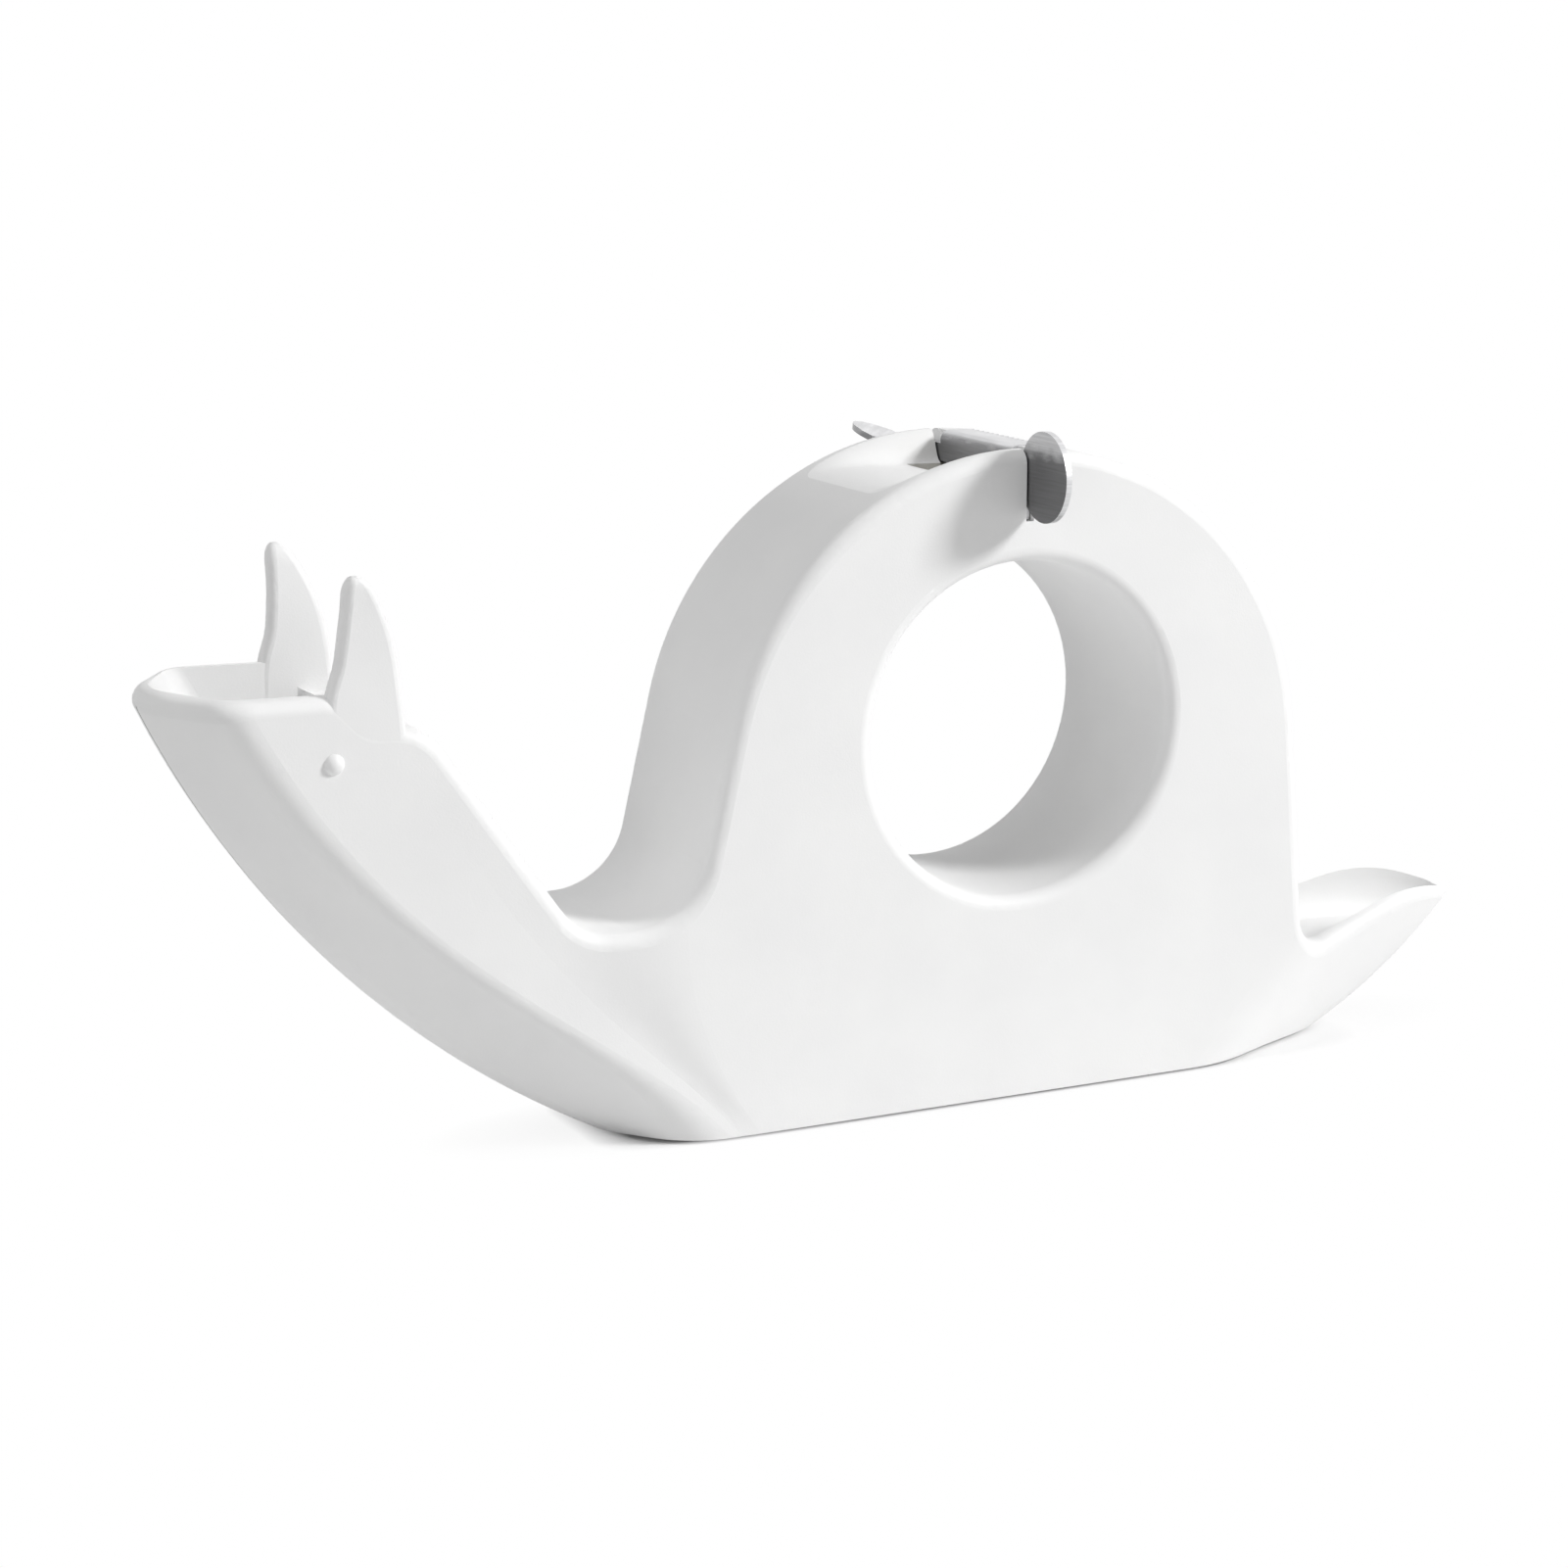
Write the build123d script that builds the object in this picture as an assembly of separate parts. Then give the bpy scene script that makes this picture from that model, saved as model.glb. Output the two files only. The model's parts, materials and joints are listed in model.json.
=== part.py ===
from build123d import *
from math import atan2, cos, exp, pi, radians, sin, sqrt, tan
import os

# A desk tape dispenser in the general form of a snail. Millimetres, +Z up, +X towards the tail.
# The origin is on the table, under the axis of the eye, on the seam between the two half shells.

# Tape and core: a 3 inch core with a 1 inch wide, 33 m roll
core_bore = 76.2
core_wall = 3.0
tape_width = 25.4
tape_length = 33000.0
tape_film = 0.05

# Spool ring and hub tube, one inside the other
core_play = 0.1
spool_wall = 2.2
spool_play = 0.3
hub_wall = 2.2
spool_lip = 3.7
flange_step = 0.3
washer_thick = 1.5
washer_play = 0.3

# Moulded halves
wall = 2.8
side_room = 5.75
edge_round = 2.8
pad_thick = 1.5
pad_recess = 0.7
pad_inset = 2.2
pad_play = 0.15

# Arch of the shell: a round top on two leaning flanks, clear of a full roll
eye_height = 75.0
crown_room = 8.05
arch_room = 16.95
front_lean = 13.0
rear_lean = 5.0

# Neck: its front sweeps up in a circle, its top line falls straight to the saddle
neck_half_width = 19.2
saddle_z = 43.3
saddle_length = 21.7
saddle_round = 12.0
saddle_rear_round = 15.0
nape_z = 87.4
nape_round = 12.0
neck_fall = 54.6
throat_radius = 191.6
throat_back = 126.6
throat_centre_z = 171.3

# Neck in plan: blunt keel, slanted facet, crease, flat side and a swell to the shell's full width
keel_half_width = 5.0
facet_foot = 11.4
facet_taper = 0.028
facet_bulge = 15.0
facet_bulge_z = 19.0
crease_round = 9.0
crease_foot_round = 9.0
crease_land = 1.0
side_share = 0.3
swell_ahead = 1.7
swell_foot = 16.0

# Head cup, measured from the nape
rim_tip_rise = 7.0
rim_horn_ahead = 16.2
rim_horn_rise = 6.3
rim_back_ahead = 10.2
rim_round = 6.0
cup_wall = 4.0
cup_back_ahead = 9.7
cup_drop = 21.0
cup_floor_round = 5.0

# Horns and eye bumps, measured from the nape
horn_ahead = 16.8
horn_rise = 28.2
horn_sink = 8.0
horn_rake = 1.7
horn_root_length = 12.2
horn_tip_length = 3.2
horn_sweep = 3.2
horn_thick = 4.2
horn_corner = 1.5
horn_dome = 2.2
horn_lean = 3.2
horn_skin = 0.03
horn_flare = 2.2
horn_heel = 0.8
horn_flare_rise = 4.5
bump_ahead = 17.5
bump_drop = 5.8
bump_width = 3.9
bump_rise = 1.3

# Tail, measured from the foot of the rear flank
stern_radius = 115.4
stern_ahead = 35.1
stern_centre_z = 104.0
stern_top_z = 31.0
stern_foot_ahead = 28.1
stern_nose = 4.5
stern_waist = 0.67
tail_root_z = 21.5
tail_crest_back = 34.5
tail_fall = 10.0
tail_root_round = 6.0
tail_crest_round = 40.0
dish_inset = 3.0
dish_floor_inset = 9.0
dish_floor_z = 20.0

# Tape mouth in the band, in front of the cutter: a valley with a slot at its deep end
mouth_play = 0.6
mouth_depth = 6.6
mouth_reach = 34.0
mouth_lip = 2.2
mouth_fade = 0.3
slot_reach = 8.0
slot_wall = 1.6
slot_skirt = 6.0

# Cutter plate, standing across the shell
plate_thick = 1.2
slit_play = 0.25
seat_play = 0.4
ear_radius = 8.8
ear_out = 5.75
ear_drop = 4.65
tab_half_width = 14.0
tab_reach = 6.6
tab_sink = 1.1
bed_play = 0.5
tab_bend = 1.4
notch_drop = 2.5
tooth_pitch = 2.0
tooth_depth = 1.3
roll_gap = 2.0
thumb_lift = 18.0
thumb_reach = 12.6
thumb_drop = 5.8
thumb_roll = 12.0
thumb_gap = 1.4

# Ballast slugs and their screws
slug_front_x = -50.0
slug_back_x = 44.0
slug_seam_gap = 2.0
slug_width = 12.0
slug_height = 15.4
slug_round = 3.0
screw_inset = 15.0
screw_radius = 1.5
screw_play = 0.1
screw_bite = 4.0
screw_head_radius = 3.3
screw_head_height = 2.2
screw_slot_width = 0.8
screw_boss_radius = 4.5

# Locating pegs between the halves
peg_radius = 2.5
peg_play = 0.05
peg_depth = 12.0
peg_end_gap = 0.5
peg_boss_radius = 5.5
neck_peg_back = 0.8
neck_peg_drop = 35.0
foot_peg_inset = 16.0
foot_peg_z = 36.0

# Sizes that follow from the ones above
foot_z = pad_thick - pad_recess
body_half_width = tape_width / 2 + side_room + wall
spool_outer = core_bore / 2 - core_play
spool_bore = spool_outer - spool_wall
hub_outer = spool_bore - spool_play
eye_radius = hub_outer - hub_wall
core_outer = core_bore / 2 + core_wall
roll_radius = sqrt(core_outer**2 + tape_length * tape_film / pi)
arch_height = eye_height + roll_radius + crown_room
arch_radius = roll_radius + arch_room
arch_centre_z = arch_height - arch_radius
secants = 1 / cos(radians(front_lean)) + 1 / cos(radians(rear_lean))
tangents = tan(radians(front_lean)) + tan(radians(rear_lean))
apex_rise = arch_radius * secants / tangents
apex_x = arch_radius / cos(radians(rear_lean)) - apex_rise * tan(radians(rear_lean))
inner_half_width = body_half_width - wall
ear_y = body_half_width + ear_out
ear_z = arch_height - ear_drop
slit_floor_z = ear_z - ear_radius - seat_play
tab_z = arch_height - tab_sink + plate_thick / 2
beyond = 40.0

# Stations of the lofted forms
hull_steps = 11
hull_crowding = 1.4
horn_steps = 9
horn_dome_stations = (0.6, 0.95)
dish_stations = (0, 0.5, 0.85, 1)
mouth_stations = (-0.05, 0.15, 0.35, 0.55, 0.75, 0.9, 1)


def flank_x(z, lean):
    """Distance of a leaning flank of the shell from the eye's axis at a height."""
    rise = z - arch_centre_z
    return (arch_radius - rise * sin(radians(lean))) / cos(radians(lean))


front_x = -flank_x(saddle_z, front_lean)
neck_run = (nape_z - saddle_z) / tan(radians(neck_fall))
nape_x = front_x - saddle_length - neck_run
tail_x = flank_x(tail_root_z, rear_lean)
rim_tip_z = nape_z + rim_tip_rise
cup_floor_z = nape_z - cup_drop
cup_back_x = nape_x - cup_back_ahead
peg_places = [
    (nape_x + neck_peg_back, nape_z - neck_peg_drop),
    (front_x + foot_peg_inset, foot_peg_z),
    (tail_x - foot_peg_inset, foot_peg_z),
]


# Outline functions of height

def throat_x(z, inset):
    """Front of the keel at a height."""
    return nape_x + throat_back - sqrt((throat_radius - inset)**2 - (z - throat_centre_z)**2)


def facet_run(z):
    """Length in plan of the neck's slanted front at a height."""
    level = z / facet_bulge_z
    return facet_foot - facet_taper * z + facet_bulge * level * exp(1 - level)


def foot_share(z):
    """One at the table, falling softly to nothing at the saddle."""
    return max(0, 1 - z / saddle_z)**2


def side_half_width(z):
    """Half width of the neck at a height: it widens to the shell's width at the foot and at the head."""
    level = min(1, max(0, z - saddle_z) / (nape_z + rim_horn_rise - saddle_z))
    head_share = level**2 * (3 - 2 * level)
    return neck_half_width + (body_half_width - neck_half_width) * (head_share + foot_share(z))


def stern_x(z, inset):
    """Back of the tail at a height."""
    return tail_x - stern_ahead + sqrt((stern_radius - inset)**2 - (stern_centre_z - z)**2)


def stern_side_x(z):
    """Where the side starts to round towards the tail's tip."""
    return tail_x - stern_foot_ahead * (1 - z / stern_top_z)


def stern_curve(z, inset):
    """Plan curve of one side of the tail, from the side to its blunt point."""
    half_width = body_half_width - inset
    height = min(z, 2 * stern_top_z)
    side_x = stern_side_x(height) - inset
    tip_x = stern_x(height, inset)
    nose = min(stern_nose, half_width / 4)
    points = [
        (side_x, half_width, z),
        ((side_x + tip_x) / 2, stern_waist * half_width, z),
        (tip_x - nose / 2, nose, z),
        (tip_x, 0, z),
    ]
    return Spline(*points, tangents=[(1, 0, 0), (0, -1, 0)])


def plan_section(z, inset):
    """Half of the body in plan at a height, drawn in by an inset."""
    half_width = body_half_width - inset
    neck_width = side_half_width(z) - inset
    keel = keel_half_width - inset / 2
    tip_x = throat_x(z, inset)
    fold_x = throat_x(z, 0) + facet_run(z) + inset / 2
    slant = atan2(neck_width - keel, fold_x - tip_x)
    keel_round = keel / tan(pi / 4 - slant / 2) - crease_land
    fold_round = crease_round + crease_foot_round * foot_share(z) - inset
    bow_end_x = fold_x + fold_round * tan(slant / 2) + crease_land
    full_x = front_x - swell_ahead + swell_foot * foot_share(z)
    swell_x = bow_end_x + side_share * (1 - foot_share(z)) * (full_x - bow_end_x) + crease_land
    corners = [(tip_x, 0, z), (tip_x, keel, z), (fold_x, neck_width, z), (swell_x, neck_width, z)]
    bow = FilletPolyline(*corners, radius=[keel_round, fold_round])
    swell = Spline(bow @ 1, (full_x, half_width, z), tangents=[(1, 0, 0), (1, 0, 0)])
    stern = stern_curve(z, inset)
    return make_face([bow, swell, Line(swell @ 1, stern @ 0), stern, Line(stern @ 1, bow @ 0)])


def levels(low_z, high_z):
    """Section heights between two limits, closer together near the foot."""
    shares = [(step / hull_steps)**hull_crowding for step in range(hull_steps + 1)]
    return [low_z + (high_z - low_z) * share for share in shares]


def hull(inset, low_z, high_z):
    """Half of the body without its outline from the side."""
    return loft([plan_section(z, inset) for z in levels(low_z, high_z)])


def side_outline():
    """The snail seen from its side, closed well in front of the throat and behind the tail."""
    ahead_x = throat_x(arch_height, 0) - beyond
    back_x = stern_x(stern_top_z, 0) + beyond
    crest_x = tail_x + tail_crest_back
    back_z = stern_top_z - (back_x - crest_x) * tan(radians(tail_fall))
    corners = [
        ((ahead_x, -beyond), 0),
        ((ahead_x, rim_tip_z), 0),
        ((throat_x(rim_tip_z, 0), rim_tip_z), rim_round),
        ((nape_x - rim_horn_ahead, nape_z + rim_horn_rise), rim_round),
        ((nape_x - rim_back_ahead, nape_z), rim_round),
        ((nape_x, nape_z), nape_round),
        ((nape_x + neck_run, saddle_z), saddle_round),
        ((front_x, saddle_z), saddle_rear_round),
        ((apex_x, arch_centre_z + apex_rise), arch_radius),
        ((tail_x, tail_root_z), tail_root_round),
        ((crest_x, stern_top_z), tail_crest_round),
        ((back_x, back_z), 0),
        ((back_x, -beyond), 0),
    ]
    points = [point for point, _ in corners]
    rounds = [radius for _, radius in corners]
    return make_face(FilletPolyline(*points, radius=rounds, close=True))


def across(sketch, low_y, high_y):
    """A side-view sketch pushed across the body between two distances from the seam."""
    solid = extrude(Plane.XZ * sketch, amount=high_y - low_y, dir=(0, 1, 0))
    return Pos(0, low_y, 0) * solid


def rod(x, z, radius, low_y, high_y):
    """A round bar across the body."""
    return across(Pos(x, z) * Circle(radius), low_y, high_y)


def block(low, high):
    """A box between two corners."""
    size = [b - a for a, b in zip(low, high)]
    middle = [(a + b) / 2 for a, b in zip(low, high)]
    return Pos(*middle) * Box(*size)


# Moulded half shell, on the +Y side of the seam

def outer_form():
    """Outside of a half: hull and side outline together, with its rim rounded."""
    whole = hull(0, foot_z, arch_height + wall)
    solid = (across(side_outline(), -beyond, beyond) & whole).solid()
    crest = solid.edges().filter_by(lambda edge: (edge @ 0.5).Y > body_half_width - wall / 10)
    return fillet(crest.sort_by(Axis.Z)[-1], edge_round)


def horn():
    """A fin flush with the side of the head, swept back and leaning outwards, with a domed tip."""
    root_z = nape_z - horn_sink
    rim_z = nape_z + rim_horn_rise
    tip_z = nape_z + horn_rise
    dome_z = tip_z - horn_dome
    heights = [root_z + (dome_z - root_z) * step / horn_steps for step in range(horn_steps + 1)]
    heights += [dome_z + horn_dome * share for share in horn_dome_stations]
    sections = []
    for z in heights:
        level = (z - root_z) / (tip_z - root_z)
        free = max(0, z - rim_z) / (tip_z - rim_z)
        buried = max(0, rim_z - z) / (rim_z - root_z)
        taper = sqrt(1 - (max(0, z - dome_z) / horn_dome)**2)
        low_x = nape_x - horn_ahead + horn_rake * level
        high_x = low_x + horn_root_length - (horn_root_length - horn_tip_length) * level**horn_sweep
        low_x -= horn_flare * min(1, exp((rim_z - z) / horn_flare_rise))
        high_x += horn_heel * min(1, exp((nape_z - z) / horn_flare_rise))
        thick = horn_thick - (horn_thick - cup_wall + 2 * horn_skin) * buried
        outer_y = side_half_width(z) - horn_skin + horn_lean * free**2
        slab = RectangleRounded(taper * (high_x - low_x), taper * thick, taper * horn_corner)
        sections.append(Pos((low_x + high_x) / 2, outer_y - thick / 2, z) * slab)
    return loft(sections)


def eye_bump():
    """Small domed bump on the side of the head."""
    dome = ((bump_width / 2)**2 + bump_rise**2) / (2 * bump_rise)
    bump_z = nape_z - bump_drop
    middle_y = side_half_width(bump_z) + bump_rise - dome
    return Pos(nape_x - bump_ahead, middle_y, bump_z) * Sphere(dome)


def head_cup():
    """Space inside the open head."""
    top_z = rim_tip_z + wall
    ahead_x = throat_x(rim_tip_z, 0) - beyond
    corners = [(ahead_x, cup_floor_z), (cup_back_x, cup_floor_z), (cup_back_x, top_z), (ahead_x, top_z)]
    outline = FilletPolyline(*corners, radius=[0, cup_floor_round, 0, 0], close=True)
    cup = (across(make_face(outline), -beyond, beyond) & hull(cup_wall, cup_floor_z, top_z + wall)).solid()
    floor = cup.faces().sort_by(Axis.Z)[0].edges().filter_by(lambda edge: (edge @ 0.5).Y > cup_wall)
    return fillet(floor, cup_floor_round / 2)


def tail_dish():
    """Hollow in the top of the tail, up to the shell's rear flank."""
    top_z = stern_top_z + wall
    sections = []
    for share in dish_stations:
        z = top_z - (top_z - dish_floor_z) * share
        inset = dish_inset + (dish_floor_inset - dish_inset) * (1 - sqrt(1 - share**2))
        level = Pos(0, 0, z - stern_top_z) * stern_curve(stern_top_z, inset)
        corner = (0, 0, z)
        front = Line(corner, (0, (level @ 0).Y, z))
        side = Line(front @ 1, level @ 0)
        sections.append(make_face([front, side, level, Line(level @ 1, corner)]))
    flank = [(flank_x(z, rear_lean), z) for z in (0, stern_top_z + beyond)]
    shell = make_face(Polyline((-beyond, 0), *flank, (-beyond, stern_top_z + beyond), close=True))
    return loft(sections) - across(shell, -beyond, beyond)


def eye():
    """Round hole through the shell, flared where its rim is rounded."""
    flare_y = body_half_width - edge_round
    rim_radius = eye_radius + edge_round
    bore = Polyline((0, -beyond), (eye_radius, -beyond), (eye_radius, flare_y))
    flare = CenterArc((rim_radius, flare_y), edge_round, 180, -90)
    out = Polyline((rim_radius, body_half_width), (rim_radius, beyond), (0, beyond), (0, -beyond))
    half_section = Pos(0, 0, eye_height) * make_face([bore, flare, out])
    return revolve(half_section, Axis((0, 0, eye_height), (0, 1, 0)))


def chamber():
    """Hollow inside a half, round its hub tube, bosses, cup, mouth and solid tail."""
    outline = offset(side_outline(), amount=-wall)
    space = across(outline, -beyond, beyond) & hull(wall, foot_z + wall, arch_height)
    root_x = tail_x - wall
    space -= block((root_x, -beyond, -beyond), (root_x + 2 * beyond, beyond, 2 * beyond))
    ahead_x = throat_x(rim_tip_z, 0) - beyond
    space -= block((ahead_x, -beyond, cup_floor_z - wall), (cup_back_x + wall, beyond, rim_tip_z + beyond))
    space -= rod(0, eye_height, hub_outer, -beyond, beyond)
    for x, z in peg_places:
        space -= rod(x, z, peg_boss_radius, -beyond, beyond)
    for x, z in screw_places():
        space -= rod(x, z, screw_boss_radius, slug_seam_gap + slug_width, beyond)
    ceiling_z = arch_height - mouth_depth - slot_wall
    space -= block((-mouth_reach, -beyond, ceiling_z), (-slot_reach, beyond, arch_height))
    skirt_y = tape_width / 2 + mouth_play
    space -= block((-slot_reach - slot_wall, skirt_y, ceiling_z - slot_skirt), (0, beyond, arch_height))
    return space


def mouth():
    """Valley in the band that deepens towards the cutter, over which the tape runs."""
    floor_y = tape_width / 2 - mouth_play
    lip_y = body_half_width - mouth_lip
    top_z = arch_height + wall
    sections = []
    for share in mouth_stations:
        x = -mouth_reach * share
        band_z = arch_centre_z + sqrt(arch_radius**2 - x**2)
        floor_z = band_z + mouth_fade - (mouth_depth + mouth_fade) * (1 - share**2)**2
        floor = Line((x, -wall, floor_z), (x, floor_y, floor_z))
        lip = (x, lip_y, band_z + mouth_fade)
        bank = Spline(floor @ 1, lip, tangents=[(0, 1, 0), (0, 1, 0)])
        roof = Polyline(lip, (x, lip_y, top_z), (x, -wall, top_z), floor @ 0)
        sections.append(make_face([floor, bank, roof]))
    return loft(sections)


def slot():
    """Opening from the valley's deep end down to the roll."""
    half_width = tape_width / 2 + mouth_play
    low_z = eye_height + roll_radius - slot_skirt
    return block((-slot_reach, -half_width, low_z), (0, half_width, arch_height))


def slit():
    """Gap across the top of the shell in which the cutter plate stands."""
    low = (-slit_play, -beyond, slit_floor_z)
    high = (plate_thick + slit_play, beyond, arch_height + beyond)
    return block(low, high)


def tab_bed():
    """Shallow step behind the slit, under the cutter's bent tab."""
    half_width = tab_half_width + bed_play
    low = (0, -half_width, tab_z - plate_thick / 2 - bed_play)
    high = (plate_thick / 2 + tab_reach + bed_play, half_width, arch_height + beyond)
    return block(low, high)


def base_pad(inset, thick):
    """Half of the pad's plan, raised from the table."""
    plan = plan_section(foot_z, inset)
    return Pos(0, 0, -foot_z) * extrude(plan, amount=thick, dir=(0, 0, 1))


def screw_places():
    """Where the slug is screwed to its half."""
    z = foot_z + wall + slug_height / 2
    return [(slug_front_x + screw_inset, z), (slug_back_x - screw_inset, z)]


def body_half(peg_hole_play):
    """One moulded half with its hollow, hub tube, cup, tail dish, mouth, slit and holes."""
    solid = outer_form() - chamber() - head_cup()
    solid += horn() + eye_bump()
    solid -= tail_dish()
    solid -= eye()
    solid -= mouth()
    solid -= slot()
    solid -= slit()
    solid -= tab_bed()
    solid -= base_pad(pad_inset - pad_play, pad_thick)
    for x, z in peg_places:
        solid -= rod(x, z, peg_radius + peg_hole_play, -beyond, peg_depth + peg_end_gap)
    for x, z in screw_places():
        low_y = slug_seam_gap + slug_width
        solid -= rod(x, z, screw_radius + screw_play, -beyond, low_y + screw_bite + peg_end_gap)
    return solid.solid()


# Ballast, screws and pegs of a half

def ballast_slug():
    """Steel slug on the floor of a half, with counterbored screw holes."""
    floor_z = foot_z + wall
    slug = block(
        (slug_front_x, slug_seam_gap, floor_z),
        (slug_back_x, slug_seam_gap + slug_width, floor_z + slug_height),
    )
    slug = fillet(slug.edges().filter_by(Axis.Y), slug_round)
    for x, z in screw_places():
        slug -= rod(x, z, screw_radius + screw_play, -beyond, beyond)
        slug -= rod(x, z, screw_head_radius + screw_play, -beyond, slug_seam_gap + screw_head_height)
    return slug.solid()


def ballast_screws():
    """Pan-head screws through the slug into the bosses of the side wall."""
    seat_y = slug_seam_gap + screw_head_height
    tip_y = slug_seam_gap + slug_width + screw_bite
    screws = []
    for x, z in screw_places():
        head = rod(x, z, screw_head_radius, slug_seam_gap, seat_y)
        shank = rod(x, z, screw_radius, seat_y, tip_y)
        slot = block(
            (x - screw_head_radius, slug_seam_gap, z - screw_slot_width / 2),
            (x + screw_head_radius, slug_seam_gap + screw_head_height / 2, z + screw_slot_width / 2),
        )
        screws.append((head + shank - slot).solid())
    return Compound(screws)


def locating_pegs():
    """Pegs pressed into the far half, on which the near half is pushed home."""
    return Compound([rod(x, z, peg_radius, -peg_depth, peg_depth).solid() for x, z in peg_places])


# Spool and roll, all turning about the eye's axis

def ring(inner, outer, low_y, high_y):
    """A plain ring round the eye's axis."""
    bar = rod(0, eye_height, outer, low_y, high_y)
    return (bar - rod(0, eye_height, inner, low_y - wall, high_y + wall)).solid()


flange_y = inner_half_width - washer_thick - washer_play

tape_core = ring(core_bore / 2, core_outer, -tape_width / 2, tape_width / 2)
tape_roll = ring(core_outer, roll_radius, -tape_width / 2, tape_width / 2)
spool_ring = ring(spool_bore, spool_outer, -tape_width / 2 - spool_lip, flange_y)
spool_ring += ring(spool_bore, core_outer - flange_step, tape_width / 2, flange_y)
washer_outer = core_outer - flange_step
drag_washer = ring(hub_outer, washer_outer, inner_half_width - washer_thick, inner_half_width)


# Cutter plate

def bent_strip(path_points, low_y, high_y):
    """A strip of the plate's sheet that follows a bent path seen from the side."""
    path = FilletPolyline(*path_points, radius=tab_bend)
    return across(trace(path, plate_thick), low_y, high_y)


def cutter_teeth(tip_x, low_z, high_z):
    """Row of notches that leaves teeth on the free edge of the tab."""
    notch = Polyline((0, -tooth_pitch / 2), (-tooth_depth, 0), (0, tooth_pitch / 2), close=True)
    prism = extrude(make_face(notch), amount=high_z - low_z)
    count = round(2 * tab_half_width / tooth_pitch)
    spots = [tooth_pitch * (i - (count - 1) / 2) for i in range(count + 1)]
    return [Pos(tip_x, y - tooth_pitch / 2, low_z) * prism for y in spots]


def cutter_plate():
    """Stamped plate: two legs in the slit, a round ear, a bent toothed tab and a bent thumb ear."""
    mid_x = plate_thick / 2
    notch_z = arch_height - notch_drop
    seat_z = slit_floor_z + seat_play / 2
    leg_y = body_half_width - wall / 2
    clear_y = tape_width / 2 + roll_gap
    clear_z = eye_height + roll_radius + roll_gap
    web = block((0, -leg_y, seat_z), (plate_thick, leg_y, notch_z))
    web -= block((-beyond, -clear_y, 0), (beyond, clear_y, clear_z))
    near_ear = Plane.YZ * Pos(-ear_y, ear_z) * Circle(ear_radius)
    web += extrude(near_ear, amount=plate_thick)
    tab_path = [(mid_x, clear_z), (mid_x, tab_z), (mid_x + tab_reach, tab_z)]
    tab = bent_strip(tab_path, -tab_half_width, tab_half_width)
    for notch in cutter_teeth(mid_x + tab_reach, tab_z - plate_thick, tab_z + plate_thick):
        tab -= notch
    thumb_z = arch_height - thumb_drop
    thumb_rise = thumb_reach * tan(radians(thumb_lift))
    thumb_path = [(mid_x, ear_z - ear_radius / 2), (mid_x, thumb_z), (-thumb_reach, thumb_z + thumb_rise)]
    thumb = bent_strip(thumb_path, body_half_width + thumb_gap, ear_y + ear_radius)
    thumb &= Pos(ear_radius - thumb_reach, ear_y, ear_z) * Cylinder(ear_radius, 2 * beyond)
    thumb = thumb.rotate(Axis((0, body_half_width, thumb_z), (1, 0, 0)), thumb_roll)
    bridge = block((0, leg_y - plate_thick, ear_z - ear_radius / 2), (plate_thick, ear_y, thumb_z - tab_bend))
    return (web + tab + thumb + bridge).solid()


# Write one file for each piece

os.makedirs("parts", exist_ok=True)
far_half = body_half(0)
near_half = mirror(body_half(peg_play), Plane.XZ)
far_pad = base_pad(pad_inset, pad_thick)
far_slug = ballast_slug()
far_screws = ballast_screws()
pieces = {
    "far_body_half": far_half,
    "near_body_half": near_half,
    "far_base_pad": far_pad,
    "near_base_pad": mirror(far_pad, Plane.XZ),
    "far_ballast": far_slug,
    "near_ballast": mirror(far_slug, Plane.XZ),
    "far_ballast_screws": far_screws,
    "near_ballast_screws": mirror(far_screws, Plane.XZ),
    "locating_pegs": locating_pegs(),
    "spool_ring": spool_ring,
    "tape_core": tape_core,
    "tape_roll": tape_roll,
    "drag_washer": drag_washer,
    "cutter_plate": cutter_plate(),
}
for name, piece in pieces.items():
    export_step(piece, f"parts/{name}.step")
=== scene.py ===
import json
from math import pi
import bpy
from mathutils import Matrix, Vector


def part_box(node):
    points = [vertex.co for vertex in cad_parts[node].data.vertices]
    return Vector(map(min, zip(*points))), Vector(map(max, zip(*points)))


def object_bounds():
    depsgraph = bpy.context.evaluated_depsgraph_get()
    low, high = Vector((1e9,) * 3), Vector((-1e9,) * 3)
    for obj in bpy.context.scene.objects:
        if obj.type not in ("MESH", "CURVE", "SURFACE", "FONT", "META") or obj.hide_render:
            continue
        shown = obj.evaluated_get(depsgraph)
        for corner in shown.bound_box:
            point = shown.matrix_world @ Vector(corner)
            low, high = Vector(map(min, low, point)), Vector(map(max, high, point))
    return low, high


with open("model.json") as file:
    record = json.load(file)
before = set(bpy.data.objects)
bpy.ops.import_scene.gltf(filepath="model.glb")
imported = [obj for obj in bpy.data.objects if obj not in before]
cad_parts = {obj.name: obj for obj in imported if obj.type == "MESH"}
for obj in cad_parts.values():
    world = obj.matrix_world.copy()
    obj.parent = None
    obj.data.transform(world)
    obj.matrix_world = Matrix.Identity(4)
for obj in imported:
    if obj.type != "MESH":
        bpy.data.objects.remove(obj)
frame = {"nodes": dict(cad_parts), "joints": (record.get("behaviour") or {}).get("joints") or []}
cad_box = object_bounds()
nodes = frame["nodes"]

# Camera at the photograph's view, in metres and the part's own frame
CAMERA_PLACE = (-0.3440, -0.6142, 0.2154)
CAMERA_RIGHT = (0.8973, -0.4413, 0.0)
CAMERA_UP = (0.0951, 0.1935, 0.9764)
CAMERA_BACK = (-0.4310, -0.8762, 0.2156)
CAMERA_LENS = 81.95
SENSOR_WIDTH = 36.0

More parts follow.
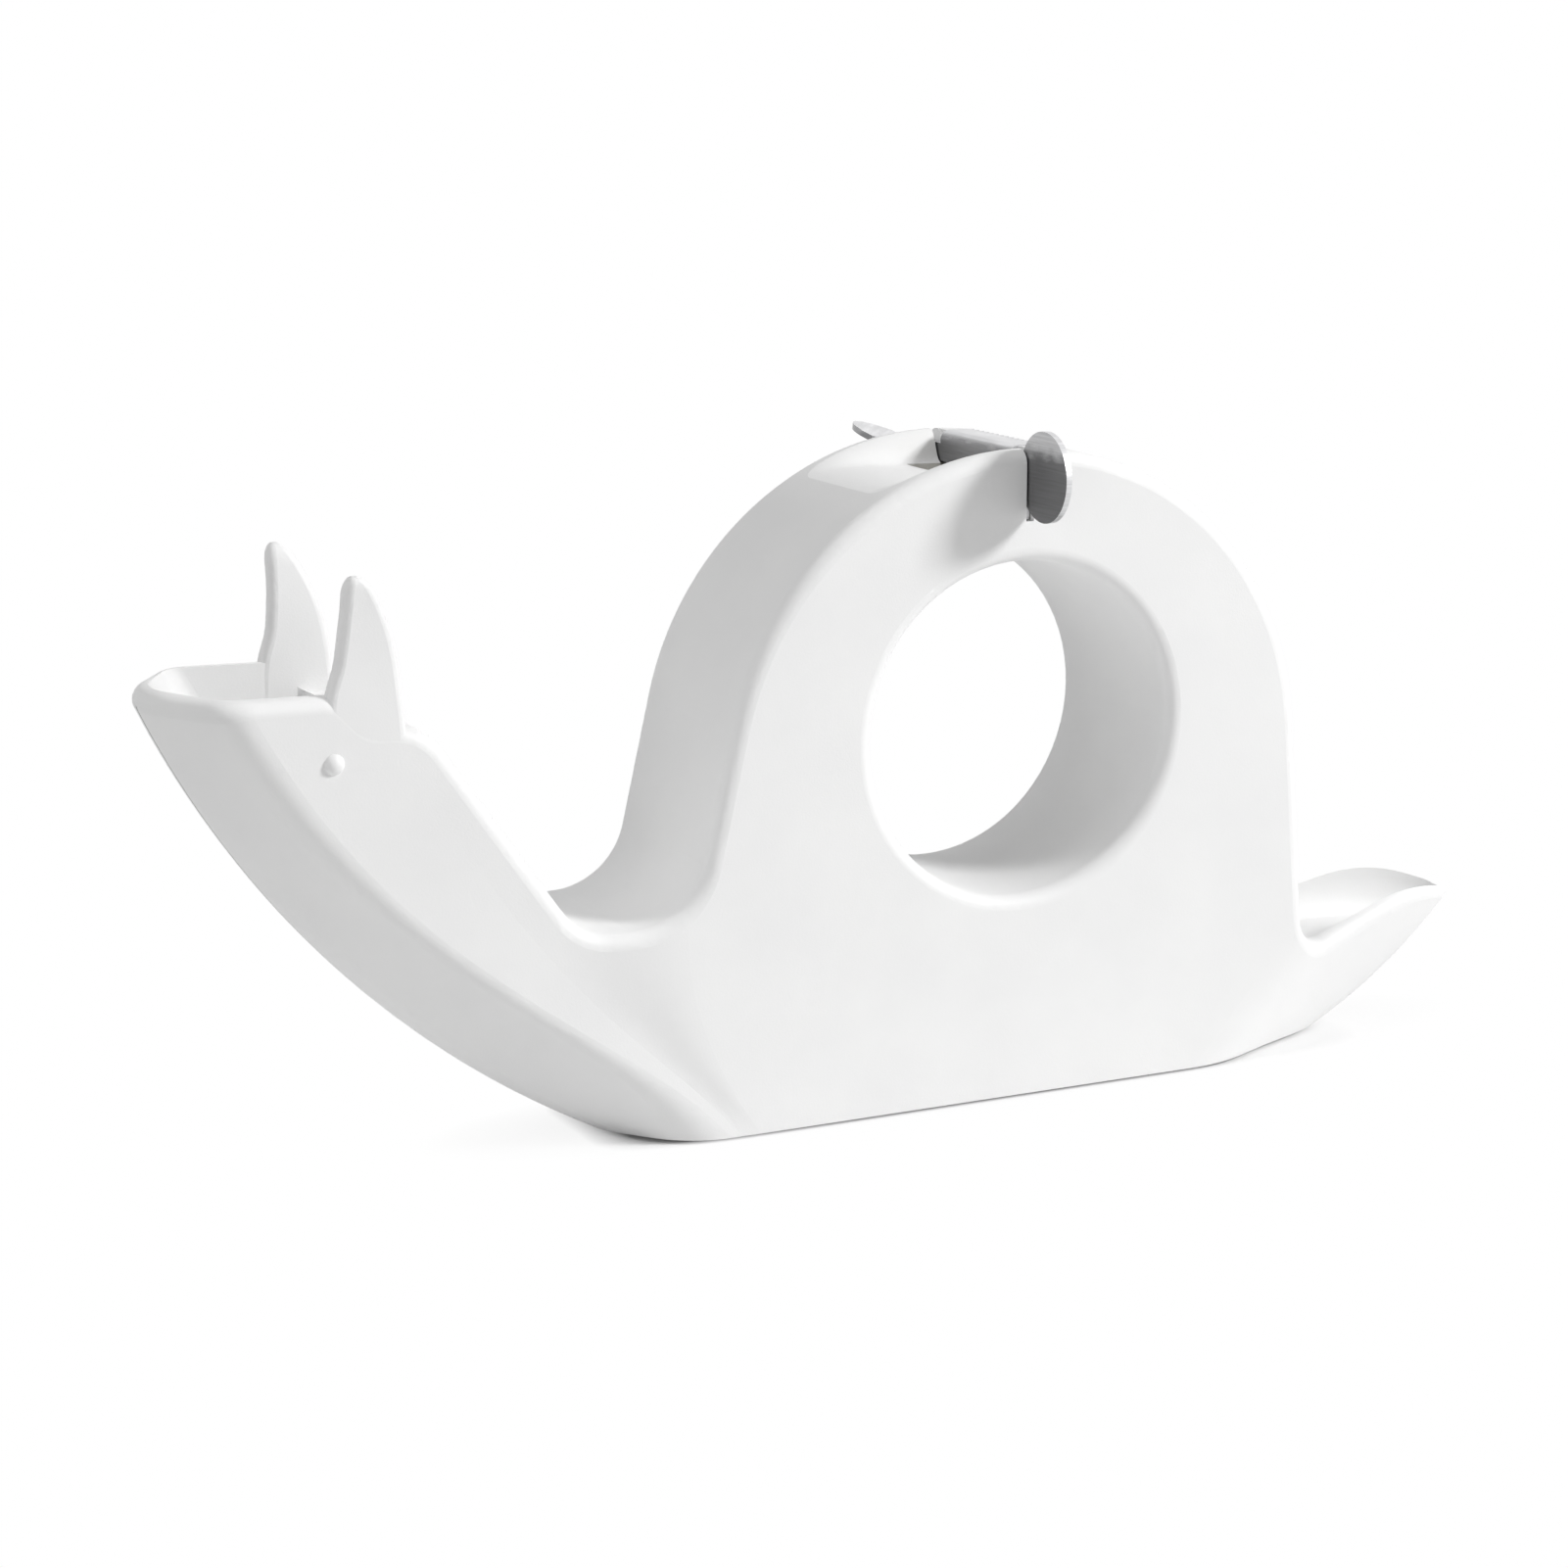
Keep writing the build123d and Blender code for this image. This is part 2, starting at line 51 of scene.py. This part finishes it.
# Lamps: direction from the object, distance and side in metres, power in watts
LAMPS = {
    "key": ((0.7, -0.52, 0.5), 2.2, 0.45, 38.0),
    "top": ((-0.35, 0.0, 0.93), 1.4, 0.7, 5.6),
    "left": ((-0.85, -0.45, 0.1), 1.6, 1.2, 3.2),
}
AMBIENT = 0.22

# Floor: the fades start and end at these multiples of the foot's half length and half width
FLOOR_SIDE = 30.0
FLOOR_COLOUR = (0.9, 0.9, 0.9, 1)
FLOOR_ROUGHNESS = 0.9
SHADOW_SHARE = 0.15
SHADOW_FADE = (1.0, 1.5)
SHADOW_POWER = 2.0
CONTACT_FADE = (1.0, 1.12)
CONTACT_POWER = 6.0

# Places on the part that materials use, in metres
EYE_HEIGHT = next(joint["pos_m"][2] for joint in frame["joints"] if joint["name"] == "spool_spin")
FOOT_LOW = (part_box("near_base_pad")[0].x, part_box("near_base_pad")[0].y)
FOOT_HIGH = (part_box("far_base_pad")[1].x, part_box("far_base_pad")[1].y)
CUTTER_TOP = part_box("cutter_plate")[1].z

# Hairline between the halves: lengths in metres, and the upward share of the surface's direction
SEAM_FADE = (0.0002, 0.0004)
SEAM_COLOUR = (0.3, 0.3, 0.3)
THROAT_FADE = (-0.14, -0.1)
UNDERSIDE_FADE = (-0.2, -0.1)

# Seam of the cardboard core: metres for each turn, and its width as a share of a turn
CORE_SPIRAL_PITCH = 0.045
CORE_SEAM_FADE = (0.008, 0.016)
CORE_SEAM_COLOUR = (0.12, 0.08, 0.05)

# Cutter: painted reflection on the top by height in metres, its border broken by noise, and
# painted highlight on rims and bends by the face's share along X
TOP_REFLECTION_FADE = (CUTTER_TOP - 0.0035, CUTTER_TOP - 0.0005)
TOP_REFLECTION_SHARE = 0.8
TOP_REFLECTION_BLUR = 0.004
TOP_REFLECTION_NOISE_SCALE = 260
TOP_REFLECTION_NOISE_STRETCH = (1, 1, 2.5)
BRUSH_STRETCH = (150, 60, 2600)
# Painted highlight on rims and bends: faces that turn away from X take the light colour
EDGE_HIGHLIGHT_FADE = (0.55, 0.9)

TAPE_LAYERS_PER_METRE = 2500
BUMP_STRENGTH = 0.5


# Node helpers

def new_material(name):
    """An empty node material, its tree and its main shader."""
    material = bpy.data.materials.new(name)
    material.use_nodes = True
    return material, material.node_tree, material.node_tree.nodes["Principled BSDF"]


def place(tree, stretch=(1, 1, 1), shift=(0, 0, 0)):
    """Position on the part in metres, stretched for grain that runs one way, then shifted."""
    source = tree.nodes.new("ShaderNodeTexCoord")
    mapping = tree.nodes.new("ShaderNodeMapping")
    mapping.inputs["Scale"].default_value = stretch
    mapping.inputs["Location"].default_value = shift
    tree.links.new(source.outputs["Object"], mapping.inputs["Vector"])
    return mapping.outputs["Vector"]


def noise(tree, where, scale, detail=3.0):
    """Noise value with features of about one over the scale, in metres."""
    texture = tree.nodes.new("ShaderNodeTexNoise")
    texture.inputs["Scale"].default_value = scale
    texture.inputs["Detail"].default_value = detail
    tree.links.new(where, texture.inputs["Vector"])
    return texture.outputs["Fac"]


def socket(node, identifier):
    """An input found by its identifier, for nodes whose inputs share names."""
    return next(item for item in node.inputs if item.identifier == identifier)


def ramp(tree, value, low, high, start=0.3, end=0.7):
    """A value turned into a span between two colours or two numbers."""
    node = tree.nodes.new("ShaderNodeMapRange")
    if isinstance(low, tuple):
        node.data_type = "FLOAT_VECTOR"
        tree.links.new(value, node.inputs["Vector"])
        for name, level in (("From_Min_FLOAT3", start), ("From_Max_FLOAT3", end)):
            socket(node, name).default_value = (level,) * 3
        socket(node, "To_Min_FLOAT3").default_value = low
        socket(node, "To_Max_FLOAT3").default_value = high
        return node.outputs["Vector"]
    tree.links.new(value, node.inputs["Value"])
    node.inputs["From Min"].default_value = start
    node.inputs["From Max"].default_value = end
    node.inputs["To Min"].default_value = low
    node.inputs["To Max"].default_value = high
    return node.outputs["Result"]


def mixed(tree, share, first, second):
    """The first colour, turned into the second where the share is one."""
    node = tree.nodes.new("ShaderNodeMix")
    node.data_type = "RGBA"
    tree.links.new(share, node.inputs["Factor"])
    for name, colour in (("A_Color", first), ("B_Color", second)):
        if isinstance(colour, tuple):
            socket(node, name).default_value = (*colour, 1)
        else:
            tree.links.new(colour, socket(node, name))
    return next(item for item in node.outputs if item.identifier == "Result_Color")


def parts_of(tree, vector):
    """The X, Y and Z of a vector."""
    split = tree.nodes.new("ShaderNodeSeparateXYZ")
    tree.links.new(vector, split.inputs["Vector"])
    return split.outputs["X"], split.outputs["Y"], split.outputs["Z"]


def facing(tree):
    """The X, Y and Z of the way the surface itself faces, before any grain."""
    return parts_of(tree, tree.nodes.new("ShaderNodeNewGeometry").outputs["True Normal"])


def maths(tree, operation, first, second=None):
    """One arithmetic step on values or numbers."""
    node = tree.nodes.new("ShaderNodeMath")
    node.operation = operation
    for item, source in zip(node.inputs, (first, second)):
        if source is None:
            continue
        if isinstance(source, (int, float)):
            item.default_value = source
        else:
            tree.links.new(source, item)
    return node.outputs["Value"]


def bump(tree, shader, height, depth):
    """Raises the surface by a value, up to a depth in metres."""
    node = tree.nodes.new("ShaderNodeBump")
    node.inputs["Strength"].default_value = BUMP_STRENGTH
    node.inputs["Distance"].default_value = depth
    tree.links.new(height, node.inputs["Height"])
    tree.links.new(node.outputs["Normal"], shader.inputs["Normal"])


def grained(name, dark, light, drift_scale, rough, grain_scale, grain_depth, stretch=(1, 1, 1)):
    """A surface with slow colour drift, uneven gloss and a fine grain."""
    material, tree, shader = new_material(name)
    where = place(tree, stretch)
    drift = noise(tree, where, drift_scale)
    tree.links.new(ramp(tree, drift, dark, light), shader.inputs["Base Color"])
    grain = noise(tree, where, grain_scale, detail=4)
    tree.links.new(ramp(tree, grain, *rough), shader.inputs["Roughness"])
    bump(tree, shader, grain, grain_depth)
    return material, tree, shader


def overlay(tree, shader, share, colour):
    """Lays a colour over a material's own colour where the share is one."""
    own = shader.inputs["Base Color"].links[0].from_socket
    tree.links.new(mixed(tree, share, own, colour), shader.inputs["Base Color"])


# Materials

def white_plastic():
    """Matte white moulding, very finely grained, with a hairline at the throat's seam."""
    material, tree, shader = grained(
        "white_plastic", dark=(0.845, 0.845, 0.845), light=(0.875, 0.875, 0.872),
        drift_scale=45, rough=(0.46, 0.58), grain_scale=2600, grain_depth=0.00004,
    )
    shader.inputs["Specular IOR Level"].default_value = 0.4
    x, y, _ = parts_of(tree, place(tree))
    line = ramp(tree, maths(tree, "ABSOLUTE", y), 1.0, 0.0, *SEAM_FADE)
    underside = ramp(tree, facing(tree)[2], 1.0, 0.0, *UNDERSIDE_FADE)
    throat = maths(tree, "MULTIPLY", underside, ramp(tree, x, 1.0, 0.0, *THROAT_FADE))
    overlay(tree, shader, maths(tree, "MULTIPLY", line, throat), SEAM_COLOUR)
    return material


def pad_rubber():
    """Dark non-slip sheet."""
    return grained(
        "pad_rubber", dark=(0.018, 0.018, 0.019), light=(0.05, 0.05, 0.052),
        drift_scale=220, rough=(0.7, 0.9), grain_scale=1800, grain_depth=0.0001,
    )[0]


def cast_iron():
    """Grey casting with a pitted skin."""
    material, _, shader = grained(
        "cast_iron", dark=(0.09, 0.09, 0.095), light=(0.17, 0.17, 0.175),
        drift_scale=90, rough=(0.55, 0.75), grain_scale=900, grain_depth=0.0003,
    )
    shader.inputs["Metallic"].default_value = 0.7
    return material


def plain_steel():
    """Turned steel of screws and pegs."""
    material, _, shader = grained(
        "plain_steel", dark=(0.42, 0.42, 0.43), light=(0.6, 0.6, 0.61),
        drift_scale=400, rough=(0.25, 0.4), grain_scale=3000, grain_depth=0.00003,
        stretch=(1, 4, 1),
    )
    shader.inputs["Metallic"].default_value = 1.0
    return material


def spool_plastic():
    """Smooth light grey moulding."""
    return grained(
        "spool_plastic", dark=(0.6, 0.61, 0.62), light=(0.66, 0.67, 0.68),
        drift_scale=60, rough=(0.35, 0.5), grain_scale=1500, grain_depth=0.00003,
    )[0]


def felt():
    """Pressed grey felt."""
    material, _, shader = grained(
        "felt", dark=(0.08, 0.08, 0.085), light=(0.22, 0.22, 0.23),
        drift_scale=700, rough=(0.9, 1.0), grain_scale=1300, grain_depth=0.0005,
    )
    shader.inputs["Sheen Weight"].default_value = 0.4
    return material


def eye_polar(tree):
    """Distance from the eye's axis in metres, turn round it in radians, and place along it."""
    x, y, z = parts_of(tree, place(tree, shift=(0, 0, -EYE_HEIGHT)))
    squares = maths(tree, "ADD", maths(tree, "POWER", x, 2.0), maths(tree, "POWER", z, 2.0))
    return maths(tree, "SQRT", squares), maths(tree, "ARCTAN2", x, z), y


def tape_film():
    """Clear tape wound on itself: pale cream, glossy, with the layers' rings on its sides."""
    material, tree, shader = new_material("tape_film")
    rings = tree.nodes.new("ShaderNodeTexNoise")
    rings.noise_dimensions = "1D"
    rings.inputs["Scale"].default_value = TAPE_LAYERS_PER_METRE
    rings.inputs["Detail"].default_value = 2
    tree.links.new(eye_polar(tree)[0], rings.inputs["W"])
    layers = rings.outputs["Fac"]
    colour = ramp(tree, layers, (0.7, 0.66, 0.54), (0.86, 0.83, 0.72))
    tree.links.new(colour, shader.inputs["Base Color"])
    tree.links.new(ramp(tree, layers, 0.12, 0.3), shader.inputs["Roughness"])
    shader.inputs["Coat Weight"].default_value = 0.3
    bump(tree, shader, layers, 0.00005)
    return material


def core_board():
    """Spiral-wound cardboard with the dark line of its seam."""
    material, tree, shader = grained(
        "core_board", dark=(0.36, 0.25, 0.14), light=(0.5, 0.37, 0.23),
        drift_scale=250, rough=(0.75, 0.95), grain_scale=1400, grain_depth=0.0001,
        stretch=(1, 3, 1),
    )
    _, turn, along = eye_polar(tree)
    turns = maths(tree, "DIVIDE", turn, 2 * pi)
    pitches = maths(tree, "DIVIDE", along, CORE_SPIRAL_PITCH)
    wound = maths(tree, "FRACT", maths(tree, "ADD", turns, pitches))
    overlay(tree, shader, ramp(tree, wound, 1.0, 0.0, *CORE_SEAM_FADE), CORE_SEAM_COLOUR)
    return material


def cutter_steel():
    """Stamped sheet: dark brushed faces painted as shade, rims and bends painted light as
    highlight, and a painted reflection that lightens and dulls the top.
    """
    material, tree, shader = new_material("cutter_steel")
    streaks = noise(tree, place(tree, BRUSH_STRETCH), 1.0, detail=4)
    # Painted highlight on rims and bends, where the face turns away from X
    edge = ramp(tree, maths(tree, "ABSOLUTE", facing(tree)[0]), 1.0, 0.0, *EDGE_HIGHLIGHT_FADE)
    # Painted reflection: the top of the sheet is lightened and made less metallic by height, its
    # border broken by noise
    top_reflection_noise = noise(tree, place(tree, TOP_REFLECTION_NOISE_STRETCH), TOP_REFLECTION_NOISE_SCALE)
    blur = maths(tree, "MULTIPLY", top_reflection_noise, TOP_REFLECTION_BLUR)
    height = maths(tree, "ADD", parts_of(tree, place(tree))[2], blur)
    painted_top_reflection = ramp(tree, height, 0.0, TOP_REFLECTION_SHARE, *TOP_REFLECTION_FADE)
    tree.links.new(maths(tree, "SUBTRACT", 1.0, painted_top_reflection), shader.inputs["Metallic"])
    # Painted shade on the faces along X, which take the dark colour; the painted highlight and the
    # painted top reflection take the light one
    faces = ramp(tree, streaks, (0.19, 0.19, 0.193), (0.25, 0.25, 0.255))
    edge_highlight_colour = ramp(tree, streaks, (0.58, 0.58, 0.59), (0.78, 0.78, 0.79))
    colour = mixed(tree, maths(tree, "MAXIMUM", edge, painted_top_reflection), faces, edge_highlight_colour)
    tree.links.new(colour, shader.inputs["Base Color"])
    tree.links.new(ramp(tree, streaks, 0.28, 0.45), shader.inputs["Roughness"])
    bump(tree, shader, streaks, 0.00003)
    return material


def dress(names, material):
    """Gives CAD nodes a finished material."""
    for name in names:
        nodes[name].data.materials.clear()
        nodes[name].data.materials.append(material)


# Stage

def look_from(direction, distance, target):
    """A place at a distance in a direction, turned to face a target."""
    back = Vector(direction).normalized()
    turn = back.to_track_quat("Z", "Y").to_matrix().to_4x4()
    return Matrix.Translation(Vector(target) + back * distance) @ turn


def softbox(name, direction, distance, size, power, target):
    """A square lamp that faces the object."""
    lamp = bpy.data.lights.new(name, "AREA")
    lamp.size = size
    lamp.energy = power
    rig = bpy.data.objects.new(name, lamp)
    bpy.context.scene.collection.objects.link(rig)
    rig.matrix_world = look_from(direction, distance, target)


def seen_directly(tree):
    """One for rays that show the stage itself: to the eye, in mirrors and through clear things."""
    path = tree.nodes.new("ShaderNodeLightPath")
    seen = path.outputs["Is Camera Ray"]
    for ray in ("Is Glossy Ray", "Is Transmission Ray"):
        seen = maths(tree, "MAXIMUM", seen, path.outputs[ray])
    return seen


def white_world():
    """Even ambient light; eye, mirrors and clear things see plain white."""
    world = bpy.data.worlds.new("studio")
    bpy.context.scene.world = world
    world.use_nodes = True
    tree = world.node_tree
    background = tree.nodes["Background"]
    background.inputs["Color"].default_value = (1, 1, 1, 1)
    strength = ramp(tree, seen_directly(tree), AMBIENT, 1.0, 0.0, 1.0)
    tree.links.new(strength, background.inputs["Strength"])


def foot_distance(tree, power):
    """Distance from the foot's middle, one on its edge: an ellipse for two, squarer for more."""
    total = 0.0
    for axis, low, high in zip(parts_of(tree, place(tree)), FOOT_LOW, FOOT_HIGH):
        offset = maths(tree, "SUBTRACT", axis, (low + high) / 2)
        share = maths(tree, "DIVIDE", offset, (high - low) / 2)
        term = maths(tree, "POWER", maths(tree, "ABSOLUTE", share), power)
        total = maths(tree, "ADD", total, term)
    return maths(tree, "POWER", total, 1 / power)


def floor_paper():
    """White paper: full shade at the foot, a faint shadow round it, plain white further out."""
    material, tree, shader = new_material("floor_paper")
    shader.inputs["Base Color"].default_value = FLOOR_COLOUR
    shader.inputs["Roughness"].default_value = FLOOR_ROUGHNESS
    shader.inputs["Specular IOR Level"].default_value = 0.0
    white = tree.nodes.new("ShaderNodeEmission")
    contact = ramp(tree, foot_distance(tree, CONTACT_POWER), 1.0, 0.0, *CONTACT_FADE)
    shadow = ramp(tree, foot_distance(tree, SHADOW_POWER), SHADOW_SHARE, 0.0, *SHADOW_FADE)
    plain = maths(tree, "SUBTRACT", 1.0, maths(tree, "MAXIMUM", contact, shadow))
    mix = tree.nodes.new("ShaderNodeMixShader")
    tree.links.new(maths(tree, "MULTIPLY", plain, seen_directly(tree)), mix.inputs["Fac"])
    tree.links.new(shader.outputs["BSDF"], mix.inputs[1])
    tree.links.new(white.outputs["Emission"], mix.inputs[2])
    tree.links.new(mix.outputs["Shader"], tree.nodes["Material Output"].inputs["Surface"])
    return material


def floor():
    """Plain pale floor under the part."""
    mesh = bpy.data.meshes.new("floor")
    half = FLOOR_SIDE / 2
    corners = [(-half, -half, 0), (half, -half, 0), (half, half, 0), (-half, half, 0)]
    mesh.from_pydata(corners, [], [(0, 1, 2, 3)])
    plane = bpy.data.objects.new("floor", mesh)
    bpy.context.scene.collection.objects.link(plane)
    plane.location.z = cad_box[0].z
    mesh.materials.append(floor_paper())


def camera():
    """The photograph's view."""
    data = bpy.data.cameras.new("camera")
    data.lens = CAMERA_LENS
    data.sensor_width = SENSOR_WIDTH
    rig = bpy.data.objects.new("camera", data)
    bpy.context.scene.collection.objects.link(rig)
    turn = Matrix((CAMERA_RIGHT, CAMERA_UP, CAMERA_BACK)).transposed().to_4x4()
    rig.matrix_world = Matrix.Translation(CAMERA_PLACE) @ turn
    bpy.context.scene.camera = rig


dress(["far_body_half", "near_body_half"], white_plastic())
dress(["far_base_pad", "near_base_pad"], pad_rubber())
dress(["far_ballast", "near_ballast"], cast_iron())
dress(["far_ballast_screws", "near_ballast_screws", "locating_pegs"], plain_steel())
dress(["spool_ring"], spool_plastic())
dress(["drag_washer"], felt())
dress(["tape_roll"], tape_film())
dress(["tape_core"], core_board())
dress(["cutter_plate"], cutter_steel())

middle = (cad_box[0] + cad_box[1]) / 2
for name, setting in LAMPS.items():
    softbox(name, *setting, middle)
white_world()
floor()
camera()
bpy.context.scene.view_settings.view_transform = "Standard"
